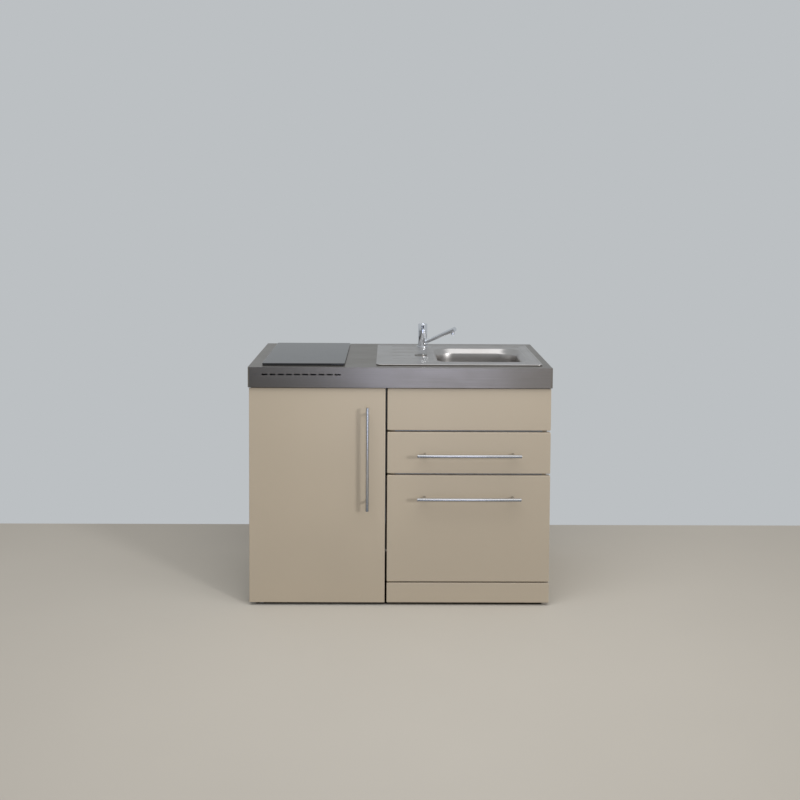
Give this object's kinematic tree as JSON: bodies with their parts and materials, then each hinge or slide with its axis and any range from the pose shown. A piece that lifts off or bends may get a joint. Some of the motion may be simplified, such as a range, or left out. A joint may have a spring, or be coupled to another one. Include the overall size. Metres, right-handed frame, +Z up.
{
  "type": "kitchenette unit",
  "caption": "Kitchenette: steel worktop with inset sink, drainer, tap and glass hob on a refrigerator and a cabinet with drawer and pull-out, bar handles.",
  "frame": {"origin": "on the floor, under the middle of the outer box, handles included", "axes": "+X to the right as seen from the front, +Y to the back, +Z up"},
  "size_m": [1.1, 0.633, 0.9797],
  "materials": {
    "worktop_steel": "satin",
    "sink_steel": "satin",
    "sand_paint": "satin",
    "white_paint": "satin",
    "grey_zinc": "satin",
    "dark_metal": "satin",
    "handle_steel": "satin",
    "chrome": "polished",
    "hob_glass": "gloss",
    "shelf_glass": "gloss",
    "clear_plastic": "gloss",
    "white_plastic": "gloss",
    "pipe_plastic": "satin",
    "grey_plastic": "satin",
    "black_plastic": "matte",
    "aluminium": "satin",
    "gasket_rubber": "matte",
    "foam": "matte"
  },
  "bodies": {
    "unit": {"worktop": "worktop_steel", "worktop_risers": "grey_zinc", "hob_glass": "hob_glass", "hob_trim": "dark_metal", "hob_casing": "grey_zinc", "inset_clips": "grey_zinc", "sink": "sink_steel", "waste_body": "sink_steel", "overflow_fitting": "sink_steel", "overflow_pipe": "pipe_plastic", "trap_pipe": "pipe_plastic", "trap_bottle": "pipe_plastic", "trap_nuts": "grey_plastic", "tap_body": "chrome", "tap_fixing": "grey_zinc", "fridge_shell": "white_paint", "fridge_back": "grey_zinc", "fridge_foam": "foam", "fridge_liner": "white_plastic", "levelling_feet": "black_plastic", "compressor": "dark_metal", "compressor_tray": "grey_zinc", "hinge_upper": "grey_zinc", "hinge_lower": "grey_zinc", "icebox": "aluminium", "thermostat_box": "white_plastic", "shelf_lower": "shelf_glass", "shelf_middle": "shelf_glass", "shelf_upper": "shelf_glass", "cabinet_sides": "sand_paint", "cabinet_panels": "grey_zinc", "cabinet_rails": "grey_zinc", "runners_fixed": "grey_zinc", "top_panel": "sand_paint", "plinth": "sand_paint"},
    "fridge_door": {"door_skin": "sand_paint", "door_foam": "foam", "door_caps": "grey_plastic", "door_liner": "white_plastic", "door_gasket": "gasket_rubber", "door_bin_lower": "clear_plastic", "door_bin_middle": "clear_plastic", "door_bin_upper": "clear_plastic", "door_handle": "handle_steel"},
    "drawer": {"drawer_front": "sand_paint", "drawer_box": "grey_zinc", "drawer_handle": "handle_steel"},
    "drawer_runners": {"drawer_slides": "grey_zinc"},
    "pullout": {"pullout_front": "sand_paint", "pullout_box": "grey_zinc", "pullout_handle": "handle_steel"},
    "pullout_runners": {"pullout_slides": "grey_zinc"},
    "spout": {"tap_spout": "chrome", "tap_aerator": "chrome"},
    "cap": {"tap_cap": "chrome"},
    "lever": {"tap_lever": "chrome"},
    "strainer": {"strainer_basket": "sink_steel"},
    "flap": {"icebox_flap": "white_plastic"},
    "knob": {"thermostat_knob": "grey_plastic"},
    "crisper_drawer": {"crisper": "clear_plastic"}
  },
  "joints": [
    {"name": "fridge_door_hinge", "type": "hinge", "parent": "unit", "child": "fridge_door", "pos_m": [-0.534, -0.2555, 0.4], "axis": [0, 0, -1], "range_deg": [0, 100]},
    {"name": "drawer_slide", "type": "slide", "parent": "unit", "child": "drawer", "axis": [0, -1, 0], "range_m": [0, 0.4]},
    {"name": "drawer_runner_slide", "type": "slide", "parent": "unit", "child": "drawer_runners", "axis": [0, -1, 0], "range_m": [0, 0.2]},
    {"name": "pullout_slide", "type": "slide", "parent": "unit", "child": "pullout", "axis": [0, -1, 0], "range_m": [0, 0.4]},
    {"name": "pullout_runner_slide", "type": "slide", "parent": "unit", "child": "pullout_runners", "axis": [0, -1, 0], "range_m": [0, 0.2]},
    {"name": "spout_swivel", "type": "hinge", "parent": "unit", "child": "spout", "pos_m": [0.095, 0.2135, 0.9025], "axis": [0, 0, 1], "range_deg": [-131, 49]},
    {"name": "cap_turn", "type": "hinge", "parent": "unit", "child": "cap", "pos_m": [0.095, 0.2135, 0.9555], "axis": [0, 0, 1], "range_deg": [-50, 50]},
    {"name": "lever_lift", "type": "hinge", "parent": "cap", "child": "lever", "pos_m": [0.095, 0.2135, 0.9615], "axis": [-1, 0, 0], "range_deg": [0, 25]},
    {"name": "strainer_lift", "type": "slide", "parent": "unit", "child": "strainer", "axis": [0, 0, 1], "range_m": [0, 0.08]},
    {"name": "flap_hinge", "type": "hinge", "parent": "unit", "child": "flap", "pos_m": [-0.29975, -0.0475, 0.742], "axis": [-1, 0, 0], "range_deg": [0, 80]},
    {"name": "thermostat_turn", "type": "hinge", "parent": "unit", "child": "knob", "pos_m": [-0.13, -0.0085, 0.602], "axis": [-1, 0, 0], "range_deg": [0, 270]},
    {"name": "crisper_slide", "type": "slide", "parent": "unit", "child": "crisper_drawer", "axis": [0, -1, 0], "range_m": [0, 0.04]}
  ],
  "couplings": [
    {"joint": "drawer_runner_slide", "follows": "drawer_slide", "ratio": 0.5},
    {"joint": "pullout_runner_slide", "follows": "pullout_slide", "ratio": 0.5}
  ]
}
